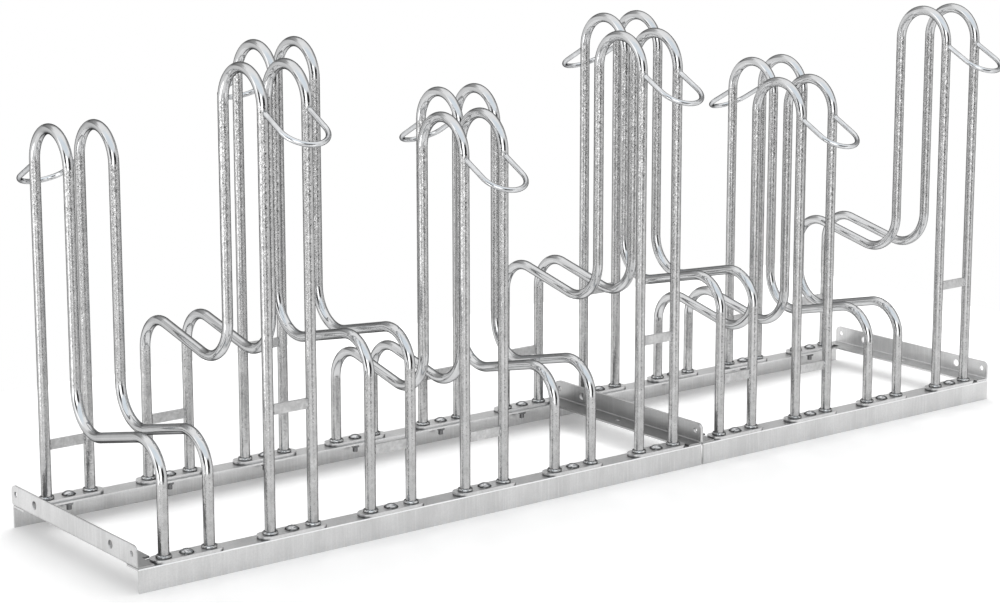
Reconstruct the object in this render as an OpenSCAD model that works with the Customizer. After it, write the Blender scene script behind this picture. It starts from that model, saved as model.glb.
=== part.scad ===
// Double sided bicycle rack of galvanised steel: two modules in line, each with bent tube
// stands that hold the wheels from both sides, alternately low and high.
// Origin: middle of the rack on the ground. +X runs along the rack, +Y to its rear, +Z up.

/* [Layout] */
// Distance from one bicycle place to the next
place_pitch = 175; // [165:5:250]
// Number of places on the left module
left_place_count = 6; // [2:1:6]
// Number of places on the right module
right_place_count = 4; // [2:1:4]
// Depth of the base over the outer faces of its rails
base_depth = 384; // [350:2:460]
// Gap between the rails of the two modules
rail_end_gap = 5; // [1:0.5:10]

/* [Bent tubes] */
// Outside diameter of the tubes
tube_d = 16; // [12:0.5:18]
// Wall thickness of the tubes
tube_wall = 2; // [1:0.25:3]
// Clear width between the two tubes of a stand, where the tyre goes
tyre_gap = 57.5; // [45:0.5:70]
// Centre line of the legs, in from the outer face of the rail
leg_inset = 15.5; // [15:0.5:18]
// Height of a low stand above the ground
low_stand_h = 617; // [540:1:800]
// How much higher a high stand is than a low one
tier_step = 100; // [60:5:150]
// Height over the short leg's bend on a low stand
low_hump_h = 208; // [190:1:260]
// Centre line radius of the arch and of the short leg's bend
arch_r = 53; // [40:1:60]
// Centre line radius of the dip where the wheel rests
dip_r = 60; // [40:1:75]
// Fall of the run from the short leg to the dip, in degrees
run_fall = 13; // [5:1:20]

/* [Foot plates] */
// Length of a foot plate
foot_plate_l = 115; // [108:1:116]
// Width of a foot plate
foot_plate_w = 30; // [26:1:30]
// Thickness of a foot plate
foot_plate_t = 5; // [4:0.5:8]

/* [Ties] */
// Height of a tie bar
tie_h = 15; // [10:1:20]
// Thickness of a tie bar
tie_t = 5; // [3:0.5:8]
// Underside of the tie on the tall legs of a low stand, above the ground
tall_tie_z = 115; // [80:1:200]
// Underside of the tie on the short legs of a high stand, above the ground
short_tie_z = 126; // [80:1:180]

/* [Lock loops] */
// Diameter of the loop's rod
loop_rod_d = 8; // [6:0.5:10]
// Straight part of each arm of the loop
loop_arm_l = 43; // [20:1:80]
// Slope of the loop below level, in degrees
loop_fall = 28; // [0:1:45]
// How far the loop is welded below the top of its stand
loop_drop = 68; // [60:1:150]

/* [Rails] */
// Width and height of the rail's angle section
rail_w = 35; // [32:1:50]
// Thickness of the rail
rail_t = 3; // [2:0.5:5]
// Radius of the rail's outer corner
rail_heel_r = 1.5; // [0.5:0.25:2.5]
// Radius in the rail's inner corner
rail_root_r = 3; // [1:0.5:4]

/* [End plates] */
// Height of an end plate above the rails
end_plate_h = 33; // [28:1:45]
// How far each end of an end plate sits in from the outer face of the rail
end_plate_inset = 2; // [0:0.5:6]
// Width of an end plate's level flange between the rails
end_flange_w = 40; // [32:1:50]
// Thickness of an end plate
end_plate_t = 3; // [2:0.5:4]
// Outside radius of an end plate's fold
end_fold_r = 5; // [3.5:0.5:8]
// Radius of the two upper corners of an end plate
end_corner_r = 10; // [5:1:14]
// Gap between an end flange and the foot plate beside it
end_flange_gap = 2; // [0.5:0.5:4]
// Diameter of the joining holes near the ends of the plate
joining_hole_d = 9; // [7:0.5:10]
// Joining hole's centre, in from the end of the plate
joining_hole_inset = 13; // [11:0.5:24]
// Height of the joining holes above the rails
joining_hole_z = 20; // [17:0.5:22]
// Diameter of the large holes
large_hole_d = 13; // [9:0.5:15]
// Large hole's centre, in from the end of the plate
large_hole_inset = 74; // [50:1:100]
// Height of the large holes above the rails
large_hole_z = 18; // [16:0.5:20]
// Diameter of the ground fixing hole in the level flange
ground_hole_d = 10; // [8:0.5:14]
// Ground fixing hole's centre, in from the outer face of the plate
ground_hole_inset = 20; // [16:0.5:26]

/* [Fasteners] */
// Diameter of the bolts that hold the foot plates
bolt_d = 8; // [6:0.5:10]
// Diameter of the bolt's domed head
bolt_head_d = 21; // [16:0.5:22]
// Height of the bolt's domed head
bolt_head_h = 5.5; // [4:0.25:7]
// Height of the head's straight rim
bolt_rim_h = 0.8; // [0.4:0.1:1.5]
// Height of the square neck under the head
bolt_neck_h = 4.5; // [3:0.5:4.5]
// Length of the bolt's end that stands out below its nut
bolt_end_l = 8; // [4:0.5:12]
// Width of the nut across its flats
nut_w = 13; // [12:0.5:16]
// Height of the nut with its flange
nut_h = 8; // [6:0.5:10]
// Diameter of the nut's flange
nut_flange_d = 17.5; // [16.5:0.5:18.5]
// Thickness of the nut's flange
nut_flange_t = 1.6; // [1:0.2:2.5]

/* [Hidden] */
$fn = 64;
// Overrun of every cut through the face that it leaves
cut = 1;
// How much slimmer a tube's sloping run is than its bends, and how far it reaches into them
run_relief = 0.2;
run_seat = 0.2;
// Step that the computed height of the dip is rounded to
grain = 0.001;
// Clearance round the bolt in the plate, rail and nut, on its diameter
neck_clearance = 0.3;
rail_hole_clearance = 1;
nut_clearance = 0.2;
// Height lost by the chamfer on a nut's corners
nut_chamfer_h = 0.8;

// Stands from left to right: odd ones from the left are tall at the rear, even ones in front
place_count = left_place_count + right_place_count;
stand_cycle = 4;
side_cycle = 2;

pair_spacing = tyre_gap + tube_d;
leg_y = base_depth / 2 - leg_inset;
bore_d = tube_d - 2 * tube_wall;
foot_z = rail_w + foot_plate_t;
hump_z = low_hump_h - tube_d / 2 - arch_r;
arch_z = low_stand_h - tube_d / 2 - arch_r;
loop_z = low_stand_h - loop_drop;
loop_r = pair_spacing / 2;
inner_leg_y = leg_y - 2 * arch_r;

left_module_x = -place_count * place_pitch / 2;
joint_x = left_module_x + left_place_count * place_pitch;
right_module_x = place_count * place_pitch / 2;
rail_setback = rail_end_gap / 2;
lapped_flange_w = (place_pitch - foot_plate_l) / 2 - end_flange_gap;
rail_inner_y = base_depth / 2 - rail_w;
end_plate_l = base_depth - 2 * end_plate_inset;
joining_hole_y = end_plate_l / 2 - joining_hole_inset;
large_hole_y = end_plate_l / 2 - large_hole_inset;

steel = [0.73, 0.74, 0.75];
steel_bright = [0.80, 0.81, 0.83];
steel_dull = [0.64, 0.65, 0.67];
steel_fastener = [0.70, 0.72, 0.74];

STAND_PARTS = ["left_tube", "right_tube", "foot_plates", "ties", "lock_loop"];
BASE_PARTS = [
    "left_module_front_rail", "left_module_rear_rail",
    "right_module_front_rail", "right_module_rear_rail",
    "left_module_left_end_plate", "left_module_right_end_plate",
    "right_module_left_end_plate", "right_module_right_end_plate",
    "foot_bolts", "foot_nuts"
];

function stand_node(i, part) = str("stand_", i < 9 ? "0" : "", i + 1, "_", part);

function place_x(i) = left_module_x + (i + 0.5) * place_pitch;
function is_front(i) = i % side_cycle == 1;
function is_high(i) = i % stand_cycle == 1 || i % stand_cycle == 2;
function lift(i) = is_high(i) ? tier_step : 0;

// Points of the tube's centre line as [y, z], for a stand that is tall at the rear
function run_start() = [
    -leg_y + arch_r + arch_r * sin(run_fall),
    hump_z + arch_r * cos(run_fall)
];
function dip_centre_y() = inner_leg_y - dip_r;
function run_end_y() = dip_centre_y() - dip_r * sin(run_fall);
function run_end_z() = run_start()[1] - (run_end_y() - run_start()[0]) * tan(run_fall);
function dip_centre_z() = round((run_end_z() + dip_r * cos(run_fall)) / grain) * grain;

// Draws its children on a stand's place, turned to the side where the stand is tall
module at_place(i) {
    translate([place_x(i), 0, 0])
        mirror([0, is_front(i) ? 1 : 0, 0])
            children();
}

// Upright straight of a tube between two heights
module leg(d, y, from, to) {
    translate([0, y, from])
        cylinder(d = d, h = to - from);
}

// Bent rod round a [y, z] centre, from the start angle through a turn
module bend(d, centre, radius, start, turn) {
    translate([0, centre[0], centre[1]])
        rotate([90, 0, 90])
            rotate_extrude(angle = turn, start = start)
                translate([radius, 0])
                    circle(d = d);
}

// Sloping straight from the short leg's bend down to the dip, its ends seated inside both
module sloping_run(d, rise) {
    span = [run_end_y(), run_end_z()] - run_start();
    translate([0, -leg_y + arch_r, hump_z + rise])
        rotate([-run_fall, 0, 0])
            translate([0, -run_seat, arch_r])
                rotate([-90, 0, 0])
                    cylinder(d = d - run_relief, h = norm(span) + 2 * run_seat);
}

// The whole bent line of one tube at a diameter: short leg, run, dip, inner leg, arch, tall leg
module tube_line(d, rise, overrun) {
    leg(d, -leg_y, foot_z - overrun, hump_z + rise);
    bend(d, [-leg_y + arch_r, hump_z + rise], arch_r, 90 - run_fall, 90 + run_fall);
    sloping_run(d, rise);
    bend(d, [dip_centre_y(), dip_centre_z() + rise], dip_r, 270 - run_fall, 90 + run_fall);
    leg(d, inner_leg_y, dip_centre_z() + rise, arch_z + rise);
    bend(d, [leg_y - arch_r, arch_z + rise], arch_r, 0, 180);
    leg(d, leg_y, foot_z - overrun, arch_z + rise);
}

module bent_tube(i, side) {
    color(steel)
        at_place(i)
            translate([side * pair_spacing / 2, 0, 0])
                difference() {
                    tube_line(tube_d, lift(i), 0);
                    tube_line(bore_d, lift(i), cut);
                }
}

module foot_plate_outline() {
    straight_l = foot_plate_l - foot_plate_w;
    square([straight_l, foot_plate_w], center = true);
    for (side = [-1, 1])
        translate([side * straight_l / 2, 0])
            circle(d = foot_plate_w);
}

module foot_plates(i) {
    color(steel_dull)
        for (side = [-1, 1])
            translate([place_x(i), side * leg_y, rail_w])
                linear_extrude(foot_plate_t)
                    difference() {
                        foot_plate_outline();
                        square(bolt_d + neck_clearance, center = true);
                    }
}

// Flat bar welded between the two tubes of a stand, its ends hollowed to fit round them
module tie(y, z) {
    difference() {
        translate([-pair_spacing / 2, y - tie_t / 2, z])
            cube([pair_spacing, tie_t, tie_h]);
        for (side = [-1, 1])
            translate([side * pair_spacing / 2, y, z - cut])
                cylinder(d = tube_d, h = tie_h + 2 * cut);
    }
}

module ties(i) {
    color(steel)
        at_place(i) {
            tie(leg_y, tall_tie_z + lift(i));
            if (is_high(i))
                tie(-leg_y, short_tie_z);
        }
}

// U of round rod, drawn level and then sloped; its arm ends are hollowed to fit the tall legs
module lock_loop(i) {
    arm_root = tube_d / 2;
    arm_end = [loop_r, arm_root + loop_arm_l];
    color(steel_bright)
        at_place(i)
            difference() {
                translate([0, leg_y + tube_d / 2, loop_z + lift(i)])
                    rotate([-loop_fall, 0, 0]) {
                        for (side = [-1, 1])
                            translate([side * loop_r, -arm_root, 0])
                                rotate([-90, 0, 0])
                                    cylinder(d = loop_rod_d, h = arm_end[1]);
                        translate([0, loop_arm_l, 0])
                            rotate_extrude(angle = 180)
                                translate([loop_r, 0])
                                    circle(d = loop_rod_d);
                    }
                for (side = [-1, 1])
                    translate([side * pair_spacing / 2, leg_y, foot_z])
                        cylinder(d = tube_d, h = low_stand_h + lift(i));
            }
}

// Section of a rail as seen along it, its heel at the origin and both arms positive
module rail_section() {
    difference() {
        union() {
            difference() {
                square(rail_w);
                square(rail_heel_r);
            }
            translate([rail_heel_r, rail_heel_r])
                circle(r = rail_heel_r);
        }
        difference() {
            translate([rail_t, rail_t])
                square(rail_w);
            difference() {
                translate([rail_t, rail_t])
                    square(rail_root_r);
                translate([rail_t + rail_root_r, rail_t + rail_root_r])
                    circle(r = rail_root_r);
            }
        }
    }
}

module rail(from_x, to_x, first, last, side) {
    color(steel)
        difference() {
            translate([from_x + rail_setback, side * base_depth / 2, rail_w])
                rotate([90, 0, 90])
                    mirror([side > 0 ? 1 : 0, 0])
                        mirror([0, 1])
                            linear_extrude(to_x - from_x - 2 * rail_setback)
                                rail_section();
            for (i = [first : last])
                translate([place_x(i), side * leg_y, rail_w - rail_t - cut])
                    cylinder(d = bolt_d + rail_hole_clearance, h = rail_t + 2 * cut);
        }
}

// Folded section of an end plate: outer face at zero, flange pointing along the first axis
module end_plate_section() {
    inner_r = end_fold_r - end_plate_t;
    difference() {
        union() {
            translate([end_fold_r, 0])
                square([end_flange_w - end_fold_r, end_plate_t]);
            translate([0, end_fold_r])
                square([end_plate_t, end_plate_h - end_fold_r]);
            intersection() {
                translate([end_fold_r, end_fold_r])
                    circle(r = end_fold_r);
                square(end_fold_r);
            }
        }
        translate([end_fold_r, end_fold_r])
            circle(r = inner_r);
    }
}

// Upright outline of an end plate seen along the rack, with both upper corners rounded
module end_plate_outline() {
    half_l = end_plate_l / 2;
    translate([-half_l, 0])
        square([end_plate_l, end_plate_h - end_corner_r]);
    translate([-half_l + end_corner_r, 0])
        square([end_plate_l - 2 * end_corner_r, end_plate_h]);
    for (side = [-1, 1])
        translate([side * (half_l - end_corner_r), end_plate_h - end_corner_r])
            circle(r = end_corner_r);
}

// Hole through the upright of an end plate
module upright_hole(y, z, d) {
    translate([-cut, y, z])
        rotate([0, 90, 0])
            cylinder(d = d, h = end_plate_t + 2 * cut);
}

// One end plate whose outer face is at x; inward is 1 where its flange points along +X
module end_plate(x, inward) {
    lap_l = (end_plate_l - 2 * (rail_inner_y - end_flange_gap)) / 2;
    color(steel)
        translate([x, 0, rail_w])
            mirror([inward > 0 ? 0 : 1, 0, 0])
                difference() {
                    intersection() {
                        translate([0, end_plate_l / 2, 0])
                            rotate([90, 0, 0])
                                linear_extrude(end_plate_l)
                                    end_plate_section();
                        rotate([90, 0, 90])
                            linear_extrude(end_flange_w)
                                end_plate_outline();
                    }
                    for (side = [-1, 1]) {
                        upright_hole(side * joining_hole_y, joining_hole_z, joining_hole_d);
                        upright_hole(side * large_hole_y, large_hole_z, large_hole_d);
                        translate([lapped_flange_w, side * (end_plate_l - lap_l) / 2, end_plate_t / 2])
                            translate([end_flange_w / 2, side * cut / 2, 0])
                                cube([end_flange_w, lap_l + cut, end_plate_t + 2 * cut], center = true);
                    }
                    translate([ground_hole_inset, 0, -cut])
                        cylinder(d = ground_hole_d, h = end_plate_t + 2 * cut);
                }
}

// Domed bolt with a square neck, its head resting on zero
module domed_bolt() {
    grip = foot_plate_t + rail_t + nut_h + bolt_end_l;
    dome_h = bolt_head_h - bolt_rim_h;
    dome_r = (pow(bolt_head_d / 2, 2) + pow(dome_h, 2)) / (2 * dome_h);
    intersection() {
        cylinder(d = bolt_head_d, h = bolt_head_h);
        translate([0, 0, bolt_head_h - dome_r])
            sphere(r = dome_r);
    }
    translate([-bolt_d / 2, -bolt_d / 2, -bolt_neck_h])
        cube([bolt_d, bolt_d, bolt_neck_h]);
    translate([0, 0, -grip])
        cylinder(d = bolt_d, h = grip);
}

module foot_bolts() {
    color(steel_fastener)
        for (i = [0 : place_count - 1])
            for (side = [-1, 1])
                translate([place_x(i), side * leg_y, foot_z])
                    domed_bolt();
}

// Hexagon nut with a flange on top and its lower corners chamfered, hanging below zero
module flange_nut() {
    corner_d = nut_w / cos(30);
    difference() {
        union() {
            translate([0, 0, -nut_flange_t])
                cylinder(d = nut_flange_d, h = nut_flange_t);
            intersection() {
                translate([0, 0, -nut_h])
                    cylinder(d = corner_d, h = nut_h, $fn = 6);
                rotate_extrude()
                    polygon([
                        [0, -nut_h],
                        [nut_w / 2, -nut_h],
                        [corner_d / 2, nut_chamfer_h - nut_h],
                        [corner_d / 2, 0],
                        [0, 0]
                    ]);
            }
        }
        translate([0, 0, -nut_h - cut])
            cylinder(d = bolt_d + nut_clearance, h = nut_h + 2 * cut);
    }
}

module foot_nuts() {
    color(steel_fastener)
        for (i = [0 : place_count - 1])
            for (side = [-1, 1])
                translate([place_x(i), side * leg_y, rail_w - rail_t])
                    flange_nut();
}

module left_module_front_rail() {
    rail(left_module_x, joint_x, 0, left_place_count - 1, -1);
}

module left_module_rear_rail() {
    rail(left_module_x, joint_x, 0, left_place_count - 1, 1);
}

module right_module_front_rail() {
    rail(joint_x, right_module_x, left_place_count, place_count - 1, -1);
}

module right_module_rear_rail() {
    rail(joint_x, right_module_x, left_place_count, place_count - 1, 1);
}

for (i = [0 : place_count - 1]) {
    bent_tube(i, -1);
    bent_tube(i, 1);
    foot_plates(i);
    ties(i);
    lock_loop(i);
}
left_module_front_rail();
left_module_rear_rail();
right_module_front_rail();
right_module_rear_rail();
end_plate(left_module_x, 1);  // left_module_left_end_plate
end_plate(joint_x, -1);  // left_module_right_end_plate
end_plate(joint_x, 1);  // right_module_left_end_plate
end_plate(right_module_x, -1);  // right_module_right_end_plate
foot_bolts();
foot_nuts();
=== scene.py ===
"""Looks of the double sided bicycle rack: galvanised steel materials, weld seams, studio and camera."""

import math

import bmesh
import bpy
from mathutils import Matrix, Vector, noise


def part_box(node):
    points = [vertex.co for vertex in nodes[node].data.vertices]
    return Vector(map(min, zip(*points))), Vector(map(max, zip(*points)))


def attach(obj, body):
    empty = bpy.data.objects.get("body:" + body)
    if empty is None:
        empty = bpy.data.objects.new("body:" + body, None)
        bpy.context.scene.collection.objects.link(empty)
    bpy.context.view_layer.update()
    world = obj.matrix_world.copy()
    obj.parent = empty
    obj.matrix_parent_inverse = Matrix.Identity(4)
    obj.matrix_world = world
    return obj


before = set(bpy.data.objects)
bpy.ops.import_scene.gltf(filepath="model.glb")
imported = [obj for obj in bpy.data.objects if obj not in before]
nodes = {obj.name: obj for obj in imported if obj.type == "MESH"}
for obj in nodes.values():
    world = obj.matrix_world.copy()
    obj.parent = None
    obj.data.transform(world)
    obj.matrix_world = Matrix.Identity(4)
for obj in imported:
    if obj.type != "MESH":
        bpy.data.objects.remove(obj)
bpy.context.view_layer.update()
scene = bpy.context.scene

# Layout of the rack in metres, read off the frame


def measured(length):
    """Length off the frame, rounded to 0.01 mm, which leaves out its mesh's rounding errors."""
    return round(length, 5)


tube_low, tube_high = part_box("stand_01_left_tube")
partner_low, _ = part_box("stand_01_right_tube")
tall_tie_low, tall_tie_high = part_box("stand_01_ties")
short_tie_low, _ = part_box("stand_02_ties")
loop_low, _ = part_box("stand_01_lock_loop")
_, rail_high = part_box("left_module_rear_rail")
_, end_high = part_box("right_module_right_end_plate")

TUBE_R = measured((tube_high.x - tube_low.x) / 2)
PAIR_HALF = measured((partner_low.x - tube_low.x) / 2)
LEG_Y = measured(tube_high.y - TUBE_R)
FOOT_Z = measured(tube_low.z)
LOW_STAND_H = measured(tube_high.z)
TIE_H = measured(tall_tie_high.z - tall_tie_low.z)
TIE_HALF_T = measured((tall_tie_high.y - tall_tie_low.y) / 2)
TALL_TIE_Z = measured(tall_tie_low.z)
SHORT_TIE_Z = measured(short_tie_low.z)
LOOP_ROD_R = measured(tube_low.x + TUBE_R - loop_low.x)
RAIL_Z = measured(rail_high.z)
BASE_HALF = measured(rail_high.y)
HALF_LENGTH = measured(end_high.x)

# Sizes in the part's source that no box shows: the radius of a tube's arch and hump, the top of a low
# stand's hump and the centre of its dip, and how far below its top its lock loop starts and how that falls
ARCH_R = 0.053
LOW_HUMP_H = 0.208
DIP_Z = 0.232
LOOP_DROP = 0.068
LOOP_FALL = math.radians(28)

# Heights on a low stand at which the hump, the arch and the lock loop start, and the arch's middle across
# the rack
HUMP_Z = LOW_HUMP_H - TUBE_R - ARCH_R
ARCH_Z = LOW_STAND_H - TUBE_R - ARCH_R
ARCH_Y = LEG_Y - ARCH_R
LOOP_Z = LOW_STAND_H - LOOP_DROP


class Stand:
    """One stand as the frame has it."""

    def __init__(self, index):
        self.index = index
        self.prefix = f"stand_{index + 1:02d}_"
        left_low, left_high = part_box(self.prefix + "left_tube")
        own_loop_low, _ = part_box(self.prefix + "lock_loop")
        # Its middle along the rack
        self.x = measured(left_low.x + TUBE_R + PAIR_HALF)
        # 1 where its tall legs, and so its lock loop, are at the rear, and -1 where they are in front
        self.side = 1 if own_loop_low.y > 0 else -1
        # How much higher it is than a low stand
        self.rise = measured(left_high.z - tube_high.z)


stands = [Stand(index) for index in range(sum(name.endswith("_lock_loop") for name in nodes))]
PITCH = measured(stands[1].x - stands[0].x)

# Shader helpers

# Reflection at a grazing angle: dulled at the rim of a round bar by its rough skin, nearly full on flat bar
ROUND_EDGE = (0.12, 0.12, 0.12, 1.0)
FLAT_EDGE = (0.95, 0.95, 0.95, 1.0)


class Shader:
    """Builds a node tree; most calls return the socket that carries their result."""

    def __init__(self, tree):
        self.tree = tree
        tree.nodes.clear()

    def add(self, kind, inputs=None, **props):
        """One node, with its properties set before its inputs; an input is a value or another socket."""
        made = self.tree.nodes.new("ShaderNode" + kind)
        for name, value in props.items():
            setattr(made, name, value)
        for name, value in (inputs or {}).items():
            socket = made.inputs[name]
            if isinstance(value, bpy.types.NodeSocket):
                self.tree.links.new(value, socket)
            else:
                socket.default_value = value
        return made

    def math(self, operation, *values):
        return self.add("Math", dict(enumerate(values)), operation=operation).outputs[0]

    def plus(self, a, b):
        return self.math("ADD", a, b)

    def minus(self, a, b):
        return self.math("SUBTRACT", a, b)

    def times(self, a, b):
        return self.math("MULTIPLY", a, b)

    def larger(self, a, b):
        return self.math("MAXIMUM", a, b)

    def absolute(self, value):
        return self.math("ABSOLUTE", value)

    def ramp(self, value, low, high, out_low=0.0, out_high=1.0):
        """Smooth step from out_low, where value is at low, to out_high, where it is at high."""
        inputs = {"Value": value, "From Min": low, "From Max": high, "To Min": out_low, "To Max": out_high}
        return self.add("MapRange", inputs, interpolation_type="SMOOTHSTEP").outputs["Result"]

    def ease(self, share, out_low, out_high):
        """Smooth step from out_low to out_high as share goes from 0 to 1."""
        return self.ramp(share, 0.0, 1.0, out_low, out_high)

    def noise(self, vector, scale, detail=2.0, roughness=0.5):
        inputs = {"Vector": vector, "Scale": scale, "Detail": detail, "Roughness": roughness}
        return self.add("TexNoise", inputs).outputs["Fac"]

    def cells(self, vector, scale):
        """Distance from the middle of the nearest cell."""
        return self.add("TexVoronoi", {"Vector": vector, "Scale": scale}).outputs["Distance"]

    def drawn_up(self, vector, share):
        """Coordinates in which marks come out upright: share is their width over their height."""
        inputs = {"Vector": vector, "Scale": (1.0, 1.0, share)}
        return self.add("Mapping", inputs, vector_type="POINT").outputs["Vector"]

    def mix(self, share, a, b):
        """Colour b over a by share."""
        return self.add("Mix", {"Factor": share, "A": a, "B": b}, data_type="RGBA").outputs["Result"]

    def place(self):
        """Object coordinates, and their x, y and z."""
        where = self.add("TexCoord").outputs["Object"]
        parts = self.add("SeparateXYZ", {"Vector": where}).outputs
        return where, parts["X"], parts["Y"], parts["Z"]

    def from_foot(self, x, y, offset):
        """Level distance from the nearer of two points, offset to either side of a foot plate's middle."""
        share = self.math("FRACT", self.math("DIVIDE", self.plus(x, HALF_LENGTH), PITCH))
        along = self.minus(self.absolute(self.times(self.minus(share, 0.5), PITCH)), offset)
        across = self.minus(self.absolute(y), LEG_Y)
        squares = self.plus(self.math("POWER", along, 2.0), self.math("POWER", across, 2.0))
        return self.math("SQRT", squares)

    def metal(self, colour, roughness, height, strength, distance=0.001, edge=ROUND_EDGE):
        """Bare metal with a bump by height; strength and distance say how deep the bump goes."""
        bump = self.add("Bump", {"Height": height, "Strength": strength, "Distance": distance})
        inputs = {"Base Color": colour, "Metallic": 1.0, "Roughness": roughness, "Specular Tint": edge}
        inputs["Normal"] = bump.outputs["Normal"]
        shader = self.add("BsdfPrincipled", inputs)
        self.add("OutputMaterial", {"Surface": shader.outputs["BSDF"]})


def new_material(name):
    made = bpy.data.materials.new(name)
    made.use_nodes = True
    return made, Shader(made.node_tree)


# Materials


def grey(value, tint=0.0):
    """Neutral grey, or faintly blue by tint."""
    return (value * (1 - tint), value * (1 - tint / 3), value * (1 + tint / 2), 1.0)


# Colours of the zinc, as those of its darker and its brighter patches
STRAIGHT_ZINC = (grey(0.44), grey(0.54))
BEND_ZINC = (grey(0.58, 0.01), grey(0.66, 0.01))
FLAT_ZINC = (grey(0.60), grey(0.70))
TIE_ZINC = (grey(0.52), grey(0.64))
LOOP_ZINC = (grey(0.56, 0.02), grey(0.68, 0.02))
BOLT_ZINC = (grey(0.54, 0.02), grey(0.66, 0.02))
# Painted shade: the nuts under the rails' flange get a dark zinc colour
SHADED_NUT_ZINC = (grey(0.16, 0.02), grey(0.26, 0.02))
WELD_ZINC = (grey(0.30), grey(0.62, 0.01))

# Colours of the marks on it
TUBE_GRAIN = grey(0.26)
TUBE_SPOT = grey(0.66)
TUBE_FLECK = grey(0.72)
TUBE_STAIN = grey(0.12)
FLAT_STREAK = grey(0.84)
FLAT_GRAIN = grey(0.48)
TIE_GRAIN = grey(0.38)
# Painted highlight along a rail's outer corner
PAINTED_CORNER_HIGHLIGHT = grey(1.0)
FOLD_SHADE = grey(0.12)
# Painted shade at a foot plate's round ends, bolt and welds
FOOT_PLATE_SHADE = grey(0.06)
# Painted shade on a bolt's head rim and shank
BOLT_HEAD_SHADE = grey(0.04)
# Painted shade at the toe of a weld seam
WELD_TOE_SHADE = grey(0.05)

# How close the marks lie, as a texture's scale: about so many a metre
CLOUDS = 24.0
BLOTCHES = 30.0
PATCHES = 55.0
SPOTS = 70.0
STAINS = 160.0
GRAIN = 260.0
DRIPS = 320.0
FLECKS = 380.0
PORES = 420.0

# How far a bend's smooth skin fades beyond its end, and within an arch or hump and within a dip
FADE_BEYOND = 0.004
FADE_IN_ARCH = 0.010
FADE_IN_DIP = 0.008
# Half the width of the fade between a tall leg and the rest of its tube; no metal lies in it
SIDE_FADE = 0.005
# Heights between which a tube's straights get more mottled
MOTTLED_Z = (0.32, 0.62)
# Heights above the foot plate between which a tube's stain fades
STAIN_H = (0.002, 0.030)
# Distances inside a rail's outer corner at which its painted highlight starts and is full
CORNER_HIGHLIGHT = (0.0022, 0.0008)
# Depths behind an end plate's outer face between which its look turns to that of its inside
PLATE_DEPTH = (0.0012, 0.0020)
# Share of shade on an end plate's inside, and height over which the extra shade in its fold fades
INSIDE_SHADE = 0.36
FOLD_H = 0.034
# The one end plate whose inside is as pale as its outside
PALE_PLATE = "right_module_right_end_plate"
# Distances between which painted shade comes in toward a foot plate's round ends, and fades round its bolt
# and tubes
END_SHADE_R = (0.046, 0.052)
BOLT_RING_SHADE_R = (0.0106, 0.0122)
WELD_RING_SHADE_R = (0.0102, 0.0122)
# How far up their rim the painted shade at the round ends goes
SEAM_H = 0.0046
# Radius from which a bolt's head is darkened by painted shade, and width over which that comes in
BOLT_RIM_R = 0.0078
BOLT_RIM_W = 0.0025
# Depth below the rails' top over which the painted shade on a bolt's shank comes in
SHANK_SHADE_H = 0.0060
# Height of the painted shade at the toe of the weld seams on the foot plates
TOE_H = 0.0018
# Strength of the bump on flat bar and sheet
FLAT_BUMP = 0.12


def zinc_mottle(s, where):
    """Patches and fine grain of a hot dip zinc skin: (patches, grain), each about 0 to 1."""
    patches = s.noise(where, PATCHES, detail=3.0, roughness=0.6)
    grain = s.noise(s.drawn_up(where, 0.7), GRAIN, roughness=0.6)
    return s.ramp(patches, 0.32, 0.72), s.ramp(grain, 0.34, 0.66)


def bent_share(s, y, z, rise):
    """1 on a tube's arch, hump, run and dip, 0 on its upright straights; y is positive at its tall leg."""
    hump, dip, arch = HUMP_Z + rise, DIP_Z + rise, ARCH_Z + rise
    in_arch = s.ramp(z, arch - FADE_BEYOND, arch + FADE_IN_ARCH)
    low_side = s.ramp(y, ARCH_Y - SIDE_FADE, ARCH_Y + SIDE_FADE, 1.0, 0.0)
    over_short_leg = s.ramp(z, hump - FADE_BEYOND, hump + FADE_IN_ARCH)
    under_inner_leg = s.ramp(z, dip - FADE_IN_DIP, dip + FADE_BEYOND, 1.0, 0.0)
    in_run = s.times(s.times(low_side, over_short_leg), under_inner_leg)
    return s.larger(in_arch, in_run)


def tube_material(name, side, rise):
    """Mottled on the tube's straights, smooth and bright where it is bent."""
    made, s = new_material(name)
    where, _, y, z = s.place()
    bent = bent_share(s, s.times(y, side), z, rise)
    mottled = s.ramp(z, *MOTTLED_Z)

    patches, grain = zinc_mottle(s, where)
    spots = s.ramp(s.cells(where, SPOTS), 0.0, 0.35, 1.0, 0.0)
    spots = s.times(spots, s.ramp(s.noise(where, BLOTCHES), 0.52, 0.62))
    flecks = s.ramp(s.noise(s.drawn_up(where, 0.35), FLECKS, roughness=0.6), 0.54, 0.66)
    straight = s.mix(patches, *STRAIGHT_ZINC)
    straight = s.mix(s.times(grain, s.ease(mottled, 0.10, 0.26)), straight, TUBE_GRAIN)
    straight = s.mix(s.times(spots, 0.5), straight, TUBE_SPOT)
    straight = s.mix(s.times(flecks, s.ease(mottled, 0.10, 0.60)), straight, TUBE_FLECK)
    colour = s.mix(bent, straight, s.mix(s.times(patches, 0.5), *BEND_ZINC))
    foot = s.ramp(z, FOOT_Z + STAIN_H[0], FOOT_Z + STAIN_H[1], 0.35, 0.0)
    stain = s.times(foot, s.ramp(s.noise(s.drawn_up(where, 0.3), STAINS), 0.45, 0.65))
    colour = s.mix(stain, colour, TUBE_STAIN)

    rough = s.minus(s.plus(s.times(grain, 0.10), 0.18), s.times(patches, 0.03))
    rough = s.times(rough, s.ease(bent, 1.0, 0.35))
    skin = s.plus(s.times(grain, 0.7), s.times(patches, 0.5))
    skin = s.times(s.times(skin, s.ease(bent, 1.0, 0.10)), s.ease(mottled, 0.25, 0.65))
    s.metal(colour, rough, skin, strength=0.45, distance=0.0014)
    return made


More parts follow.
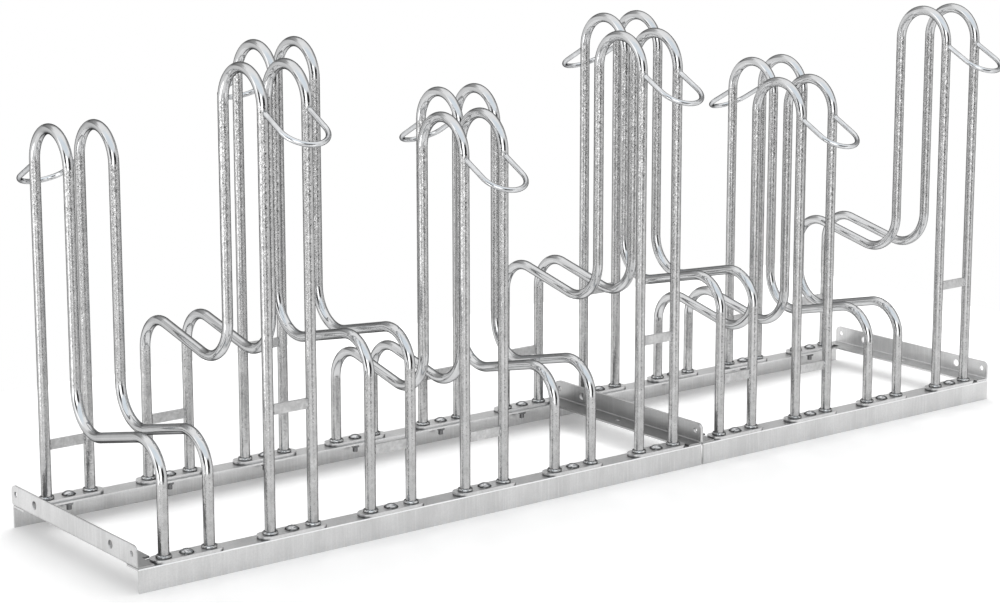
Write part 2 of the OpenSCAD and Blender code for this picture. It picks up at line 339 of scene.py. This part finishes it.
def drawn_zinc(s, where):
    """Colour, roughness and height of rolled sheet or bar: fine upright streaks and soft clouds."""
    streaks = s.noise(s.drawn_up(where, 0.05), GRAIN, detail=3.0, roughness=0.6)
    clouds = s.noise(s.drawn_up(where, 0.4), CLOUDS, detail=3.0, roughness=0.55)
    grain = s.noise(where, PORES, detail=3.0, roughness=0.7)
    colour = s.mix(s.ramp(clouds, 0.3, 0.7), *FLAT_ZINC)
    colour = s.mix(s.times(s.ramp(streaks, 0.45, 0.72), 0.40), colour, FLAT_STREAK)
    colour = s.mix(s.times(s.ramp(grain, 0.35, 0.7), 0.22), colour, FLAT_GRAIN)
    rough = s.plus(s.times(s.ramp(streaks, 0.3, 0.7), 0.10), 0.30)
    return colour, rough, s.plus(s.times(streaks, 0.6), grain)


def rail_material():
    """Drawn zinc, with a painted highlight along the rail's outer corner."""
    made, s = new_material("rail_zinc")
    where, _, y, z = s.place()
    colour, rough, height = drawn_zinc(s, where)
    start, full = CORNER_HIGHLIGHT
    # Painted highlight: the rail's outer top corner is lightened towards white
    corner = s.ramp(z, RAIL_Z - start, RAIL_Z - full)
    corner = s.times(corner, s.ramp(s.absolute(y), BASE_HALF - start, BASE_HALF - full))
    s.metal(s.mix(corner, colour, PAINTED_CORNER_HIGHLIGHT), rough, height, FLAT_BUMP, edge=FLAT_EDGE)
    return made


def end_plate_material(name, outer_x, shade):
    """Pale outside; duller by shade on the folded inside, most of all down in the fold."""
    made, s = new_material(name)
    where, x, _, z = s.place()
    colour, rough, height = drawn_zinc(s, where)
    inside = s.ramp(s.absolute(s.minus(x, outer_x)), *PLATE_DEPTH, 0.0, shade)
    fold = s.ramp(z, RAIL_Z, RAIL_Z + FOLD_H, 0.40, 0.0)
    shaded = s.plus(inside, s.times(inside, fold))
    s.metal(s.mix(shaded, colour, FOLD_SHADE), rough, height, FLAT_BUMP, edge=FLAT_EDGE)
    return made


def foot_plate_material():
    """Flat bar with painted shade in the seams of its round ends and round its bolt and welds."""
    made, s = new_material("foot_plate_zinc")
    where, x, y, z = s.place()
    colour, rough, height = drawn_zinc(s, where)
    # Painted shade: darker up the rim of the round ends, and in rings round the bolt and the tubes
    seam = s.ramp(z, RAIL_Z, RAIL_Z + SEAM_H, 0.95, 0.0)
    seam = s.times(seam, s.ramp(s.from_foot(x, y, 0.0), *END_SHADE_R))
    bolt = s.ramp(s.from_foot(x, y, 0.0), *BOLT_RING_SHADE_R, 0.50, 0.0)
    weld = s.ramp(s.from_foot(x, y, PAIR_HALF), *WELD_RING_SHADE_R, 0.75, 0.0)
    painted_shade = s.larger(seam, s.larger(bolt, weld))
    s.metal(s.mix(painted_shade, colour, FOOT_PLATE_SHADE), rough, height, FLAT_BUMP, edge=FLAT_EDGE)
    return made


def tie_material():
    """Flat bar with the mottled skin of the tubes that it is welded to."""
    made, s = new_material("tie_zinc")
    where, _, _, _ = s.place()
    patches, grain = zinc_mottle(s, where)
    colour = s.mix(s.times(grain, 0.30), s.mix(patches, *TIE_ZINC), TIE_GRAIN)
    s.metal(colour, s.plus(s.times(grain, 0.14), 0.30), grain, strength=0.35, edge=FLAT_EDGE)
    return made


def bright_material(name, zinc, rough, rim=None):
    """Bright zinc of rods and fasteners; rim is the radius from which a bolt's head is darkened by painted
    shade.
    """
    made, s = new_material(name)
    where, x, y, z = s.place()
    patches, grain = zinc_mottle(s, where)
    colour = s.mix(patches, *zinc)
    if rim is not None:
        # Painted shade: a bolt's head darkens beyond its rim, and its shank below the rails' top
        painted_shade = s.ramp(s.from_foot(x, y, 0.0), rim, rim + BOLT_RIM_W, 0.0, 0.80)
        painted_shade = s.larger(painted_shade, s.ramp(z, RAIL_Z - SHANK_SHADE_H, RAIL_Z, 0.75, 0.0))
        colour = s.mix(painted_shade, colour, BOLT_HEAD_SHADE)
    smoothest, roughest = rough
    rough = s.plus(s.times(grain, roughest - smoothest), smoothest)
    s.metal(colour, rough, patches, strength=0.20)
    return made


def weld_material():
    """Weld seam: bright zinc over small ripples, with painted shade in its toe."""
    made, s = new_material("weld_zinc")
    where, _, _, z = s.place()
    lumps = s.noise(where, DRIPS, roughness=0.6)
    colour = s.mix(s.ramp(lumps, 0.35, 0.65), *WELD_ZINC)
    # Painted shade: darker at the toe, where the seam meets the foot plate
    colour = s.mix(s.ramp(z, FOOT_Z, FOOT_Z + TOE_H, 0.9, 0.0), colour, WELD_TOE_SHADE)
    s.metal(colour, s.plus(s.times(lumps, 0.16), 0.12), lumps, strength=0.5, distance=0.0012)
    return made


def assign(name, material):
    """Gives a CAD node its material."""
    slots = nodes[name].data.materials
    slots.clear()
    slots.append(material)


foot_plate_zinc = foot_plate_material()
tie_zinc = tie_material()
loop_zinc = bright_material("loop_zinc", LOOP_ZINC, rough=(0.09, 0.16))
tube_zinc = {}
for stand in stands:
    kind = (stand.side, stand.rise)
    if kind not in tube_zinc:
        words = ("rear" if stand.side > 0 else "front", "high" if stand.rise else "low")
        tube_zinc[kind] = tube_material("tube_zinc_" + "_".join(words), *kind)
    assign(stand.prefix + "left_tube", tube_zinc[kind])
    assign(stand.prefix + "right_tube", tube_zinc[kind])
    assign(stand.prefix + "foot_plates", foot_plate_zinc)
    assign(stand.prefix + "ties", tie_zinc)
    assign(stand.prefix + "lock_loop", loop_zinc)

rail_zinc = rail_material()
for name in nodes:
    if name.endswith("_rail"):
        assign(name, rail_zinc)
    elif name.endswith("_end_plate"):
        plate_low, plate_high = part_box(name)
        outer_x = measured(plate_low.x if name.endswith("_left_end_plate") else plate_high.x)
        shade = 0.0 if name == PALE_PLATE else INSIDE_SHADE
        assign(name, end_plate_material(name + "_zinc", outer_x, shade))
assign("foot_bolts", bright_material("bolt_zinc", BOLT_ZINC, rough=(0.08, 0.14), rim=BOLT_RIM_R))
# The nuts' dark colour is painted shade
assign("foot_nuts", bright_material("nut_zinc_painted_shade", SHADED_NUT_ZINC, rough=(0.25, 0.40)))

# Weld seams

# Radius of the beads at the feet, ties and lock loops
FOOT_BEAD_R = 0.0026
TIE_BEAD_R = 0.0013
LOOP_BEAD_R = 0.0011
# Points round a foot and round the end of a lock loop, and steps along the end of a tie
FOOT_POINTS = 28
LOOP_POINTS = 18
TIE_STEPS = 9
# How far the middle of a foot's bead lies outside the tube, and above the foot plate
FOOT_BEAD_OUT = 0.0010
FOOT_BEAD_UP = 0.0016
# How far the middle of a loop's bead lies outside the rod, and how deep in the leg its ring is laid out
LOOP_BEAD_OUT = 0.0002
LOOP_BEAD_IN = 0.0004
# Corners round a bead, share of its radius that its ripples and its lumps each change it by, and the
# ripples' turn in radians from point to point
BEAD_SIDES = 8
RIPPLE = 0.10
RIPPLE_TURN = 1.9
# Lumps a metre, and share of its radius that an open bead has at its ends
LUMPS = 400
BEAD_END = 0.45

UP = Vector((0, 0, 1))


def new_object(name, data):
    """Object of the given data, linked into the scene."""
    made = bpy.data.objects.new(name, data)
    scene.collection.objects.link(made)
    return made


def circle_points(centre, radius, count, normal):
    """Points round a centre, in the plane square to the normal."""
    first = normal.orthogonal().normalized()
    second = normal.cross(first)
    turns = [2 * math.pi * k / count for k in range(count)]
    return [centre + (first * math.cos(t) + second * math.sin(t)) * radius for t in turns]


def bridge(bm, here, there):
    """Faces between two neighbouring rings of a bead."""
    # A closed seam's last ring may be turned against its first, so corners are matched by distance
    shift = min(range(BEAD_SIDES), key=lambda n: (there[n].co - here[0].co).length)
    for a in range(BEAD_SIDES):
        quad = [here[a], here[(a + 1) % BEAD_SIDES]]
        quad += [there[(a + 1 + shift) % BEAD_SIDES], there[(a + shift) % BEAD_SIDES]]
        bm.faces.new(quad)


def bead(bm, points, radius, seed, closed=False):
    """Rippled weld seam along points, with small lumps that stand for its solidified drops."""
    count = len(points)
    rings = []
    for k, point in enumerate(points):
        ahead = points[(k + 1) % count] if closed or k + 1 < count else point
        behind = points[k - 1] if closed or k > 0 else point
        swell = 1 + RIPPLE * math.sin(k * RIPPLE_TURN + seed) + RIPPLE * noise.noise(point * LUMPS)
        if not closed and k in (0, count - 1):
            swell *= BEAD_END
        corners = circle_points(point, radius * swell, BEAD_SIDES, (ahead - behind).normalized())
        rings.append([bm.verts.new(corner) for corner in corners])
    for k in range(count if closed else count - 1):
        bridge(bm, rings[k], rings[(k + 1) % count])
    if not closed:
        bm.faces.new(list(reversed(rings[0])))
        bm.faces.new(rings[-1])


def finish_piece(bm, name, material):
    """Makes a smooth piece of bm, which rides on the rack's one body."""
    bmesh.ops.recalc_face_normals(bm, faces=bm.faces)
    mesh = bpy.data.meshes.new(name)
    bm.to_mesh(mesh)
    bm.free()
    mesh.shade_smooth()
    mesh.materials.append(material)
    piece = new_object(name, mesh)
    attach(piece, "root")
    return piece


def foot_welds():
    """A seam round each tube where it stands on its foot plate."""
    bm = bmesh.new()
    for stand in stands:
        for side in (-1, 1):
            for end in (-1, 1):
                centre = Vector((stand.x + side * PAIR_HALF, end * LEG_Y, FOOT_Z + FOOT_BEAD_UP))
                ring = circle_points(centre, TUBE_R + FOOT_BEAD_OUT, FOOT_POINTS, UP)
                bead(bm, ring, FOOT_BEAD_R, stand.index + side, closed=True)
    finish_piece(bm, "foot_welds", weld_zinc)


def tie_places(stand):
    """The middle of each of a stand's ties across the rack, and the height of its lower edge."""
    places = [(stand.side * LEG_Y, TALL_TIE_Z + stand.rise)]
    if stand.rise:
        places.append((-stand.side * LEG_Y, SHORT_TIE_Z))
    return places


def tie_welds():
    """Short upright seams at both ends of each tie, on its outer and inner face."""
    bm = bmesh.new()
    # How far a tube's round side reaches over the face of a tie, from the tube's middle
    reach = math.sqrt(TUBE_R**2 - TIE_HALF_T**2)
    for stand in stands:
        for y, z in tie_places(stand):
            heights = [z + TIE_H * k / TIE_STEPS for k in range(TIE_STEPS + 1)]
            for side in (-1, 1):
                x = stand.x + side * (PAIR_HALF - reach)
                for face in (-1, 1):
                    points = [Vector((x, y + face * TIE_HALF_T, height)) for height in heights]
                    bead(bm, points, TIE_BEAD_R, stand.index + side + face)
    finish_piece(bm, "tie_welds", weld_zinc)


def loop_welds():
    """A seam round each end of a lock loop, where its rod meets the tall leg."""
    bm = bmesh.new()
    for stand in stands:
        rod = Vector((0, stand.side * math.cos(LOOP_FALL), -math.sin(LOOP_FALL)))
        root_y = stand.side * (LEG_Y + TUBE_R - LOOP_BEAD_IN)
        for side in (-1, 1):
            root = Vector((stand.x + side * PAIR_HALF, root_y, LOOP_Z + stand.rise))
            ring = []
            for point in circle_points(root, LOOP_ROD_R + LOOP_BEAD_OUT, LOOP_POINTS, rod):
                # Each point slides along the rod until it meets the leg's round face
                off = point.x - root.x
                face = stand.side * (LEG_Y + math.sqrt(TUBE_R**2 - off**2))
                ring.append(point + rod * ((face - point.y) / rod.y))
            bead(bm, ring, LOOP_BEAD_R, stand.index + side, closed=True)
    finish_piece(bm, "loop_welds", weld_zinc)


weld_zinc = weld_material()
foot_welds()
tie_welds()
loop_welds()

# Studio

WHITE = (1.0, 1.0, 1.0, 1.0)
PALE_BLUE = (0.85, 0.93, 1.0, 1.0)
# Level directions from the rack to the camera, and to the camera's left
FRONT = (-0.61, -0.79, 0.0)
ASIDE = (-0.79, 0.61, 0.0)
# Strength of the studio at the horizon and overhead, heights as sines between which it grows, and the least
# strength that its dark panels leave
STUDIO_LIGHT = (1.0, 1.25)
STUDIO_GROWS = (0.20, 0.60)
DARKEST = 0.03
# Heights as sines and turns as cosines from the camera's side between which the studio turns pale blue
BLUE_HEIGHT = (0.25, 0.75)
BLUE_TURN = (0.0, 0.5)
# Bands of the studio's height, each with its middle as a sine, half height and soft edge
LOW_BAND = (-0.40, 0.40, 0.06)
HIGH_BAND = (0.13, 0.29, 0.08)
SIDE_BAND = (0.20, 0.22, 0.06)
# Panels of the studio: turn to the camera's left in degrees, half width and soft edge, band, added strength
STUDIO_PANELS = [
    (54, 14, 7, LOW_BAND, 2.00),
    (-60, 9, 6, LOW_BAND, 0.60),
    (-20, 18, 8, LOW_BAND, -0.28),
    (-42, 20, 5, HIGH_BAND, -0.97),
    (36, 15, 4, HIGH_BAND, -0.97),
    (2, 16, 5, HIGH_BAND, 1.60),
    (72, 12, 6, SIDE_BAND, 0.80),
]
# Panels behind the rack: cosines from straight behind at which one starts and is full, band, added strength
BACK_PANELS = [
    (0.05, 0.35, (0.48, 0.24, 0.08), -0.72),
    (0.60, 0.85, (0.13, 0.12, 0.05), 0.50),
    (0.45, 0.75, (-0.40, 0.40, 0.05), -0.60),
]
# Plain light that falls on what doesn't mirror
PLAIN_LIGHT = 0.88

# Floor's half size, squares along and across it, and colour
FLOOR_HALF = (1.45, 0.95)
FLOOR_SQUARES = (12, 8)
FLOOR_PALE = (0.86, 0.86, 0.86, 1.0)
# Glow that lifts the floor to the backdrop's white everywhere and toward its own edge, and painted light
# inside the base
FLOOR_GLOW = 0.17
PAINTED_BASE_LIGHT = 0.20
EDGE_GLOW = 0.10
# Distances from the rack's middle, along and across it, between which the painted light inside the base
# fades
BASE_FADE_X = (0.76, 0.86)
BASE_FADE_Y = (0.06, 0.16)
# Shares of the floor's half size between which the glow toward its edge comes in
EDGE_FADE = (0.55, 0.95)


def world_light():
    """Soft studio that the metal mirrors, with bright and dark panels; plain light for all else."""
    world = bpy.data.worlds.new("studio")
    scene.world = world
    world.use_nodes = True
    s = Shader(world.node_tree)
    where = s.add("TexCoord").outputs["Generated"]
    height = s.add("SeparateXYZ", {"Vector": where}).outputs["Z"]

    def along(direction):
        return s.add("VectorMath", {0: where, 1: direction}, operation="DOT_PRODUCT").outputs["Value"]

    def band(value, middle, half, soft):
        """1 where value is within half of the middle, fading to 0 over the soft edge."""
        return s.ramp(s.absolute(s.minus(value, middle)), half - soft, half + soft, 1.0, 0.0)

    def background(colour, strength):
        return s.add("Background", {"Color": colour, "Strength": strength}).outputs[0]

    ahead = along(FRONT)
    behind = s.times(ahead, -1.0)
    turn = s.times(s.math("ARCTAN2", along(ASIDE), ahead), math.degrees(1))
    light = s.ramp(height, *STUDIO_GROWS, *STUDIO_LIGHT)
    for middle, half, soft, heights, strength in STUDIO_PANELS:
        panel = s.times(band(turn, middle, half, soft), band(height, *heights))
        light = s.plus(light, s.times(panel, strength))
    for start, full, heights, strength in BACK_PANELS:
        panel = s.times(s.ramp(behind, start, full), band(height, *heights))
        light = s.plus(light, s.times(panel, strength))
    sky = s.times(s.ramp(height, *BLUE_HEIGHT), s.ramp(ahead, *BLUE_TURN))
    studio = background(s.mix(sky, WHITE, PALE_BLUE), s.larger(light, DARKEST))
    plain = background(WHITE, PLAIN_LIGHT)
    white = background(WHITE, 1.0)
    path = s.add("LightPath").outputs
    shader = s.add("MixShader", {0: path["Is Glossy Ray"], 1: plain, 2: studio}).outputs[0]
    shader = s.add("MixShader", {0: path["Is Camera Ray"], 1: shader, 2: white}).outputs[0]
    s.add("OutputWorld", {"Surface": shader})


def floor_material():
    """Pale floor with a glow that only the camera and mirroring metal see, and painted light inside the
    base.
    """
    made, s = new_material("floor_pale")
    _, x, y, _ = s.place()
    x = s.absolute(x)
    y = s.absolute(y)
    # Painted light: the floor inside the base is lifted, which lightens the rack's shadow there
    inside = s.times(s.ramp(x, *BASE_FADE_X, 1.0, 0.0), s.ramp(y, *BASE_FADE_Y, 1.0, 0.0))
    edge = s.larger(s.math("DIVIDE", x, FLOOR_HALF[0]), s.math("DIVIDE", y, FLOOR_HALF[1]))
    glow = s.plus(s.times(inside, PAINTED_BASE_LIGHT), s.ramp(edge, *EDGE_FADE, 0.0, EDGE_GLOW))
    glow = s.plus(glow, FLOOR_GLOW)
    path = s.add("LightPath").outputs
    seen = s.larger(path["Is Camera Ray"], path["Is Glossy Ray"])
    ground = s.add("BsdfDiffuse", {"Color": FLOOR_PALE}).outputs[0]
    glow = s.add("Emission", {"Color": WHITE, "Strength": s.times(seen, glow)}).outputs[0]
    shader = s.add("AddShader", {0: ground, 1: glow}).outputs[0]
    s.add("OutputMaterial", {"Surface": shader})
    return made


def floor():
    """Plain floor, white to the camera except for the rack's soft shadow."""
    bm = bmesh.new()
    bmesh.ops.create_grid(bm, x_segments=FLOOR_SQUARES[0], y_segments=FLOOR_SQUARES[1], size=1.0)
    for v in bm.verts:
        v.co.x *= FLOOR_HALF[0]
        v.co.y *= FLOOR_HALF[1]
    mesh = bpy.data.meshes.new("floor")
    bm.to_mesh(mesh)
    bm.free()
    mesh.materials.append(floor_material())
    new_object("floor", mesh)


def soft_box(name, place, target, size, power):
    """Wide lamp that shines from its place towards its target."""
    lamp = bpy.data.lights.new(name, "AREA")
    lamp.shape = "RECTANGLE"
    lamp.size, lamp.size_y = size
    lamp.energy = power
    made = new_object(name, lamp)
    made.location = place
    made.rotation_mode = "QUATERNION"
    made.rotation_quaternion = (Vector(target) - Vector(place)).to_track_quat("-Z", "Y")
    # The metal mirrors the studio alone, so no lamp stands out in it
    made.visible_glossy = False


world_light()
floor()
soft_box("key_box", place=(1.2, 2.2, 3.0), target=(0, 0, 0.2), size=(2.0, 1.4), power=30)
soft_box("top_box", place=(0.3, 0.4, 3.6), target=(0, 0, 0.3), size=(3.0, 1.4), power=22)

# Camera

# Place in metres and turns in radians, fitted to the photograph
CAMERA_PLACE = (-2.4088, -3.0042, 1.0999)
CAMERA_YAW = 0.6561
CAMERA_PITCH = 0.1803
CAMERA_ROLL = -0.0009
# Sensor's width and lens in millimetres, shift in frame widths, and how far the camera sees in metres
SENSOR = 36
LENS = 86.32
SHIFT = -0.08
SIGHT = 60


def camera():
    """Camera at the photograph's viewing angle."""
    data = bpy.data.cameras.new("camera")
    data.sensor_width = SENSOR
    data.lens = LENS
    data.shift_y = SHIFT
    data.clip_end = SIGHT
    ahead = math.cos(CAMERA_PITCH)
    look = Vector((math.sin(CAMERA_YAW) * ahead, math.cos(CAMERA_YAW) * ahead, -math.sin(CAMERA_PITCH)))
    turn = look.to_track_quat("-Z", "Y").to_matrix().to_4x4() @ Matrix.Rotation(CAMERA_ROLL, 4, "Z")
    made = new_object("camera", data)
    made.matrix_world = Matrix.Translation(CAMERA_PLACE) @ turn
    scene.camera = made


camera()
scene.view_settings.view_transform = "Standard"
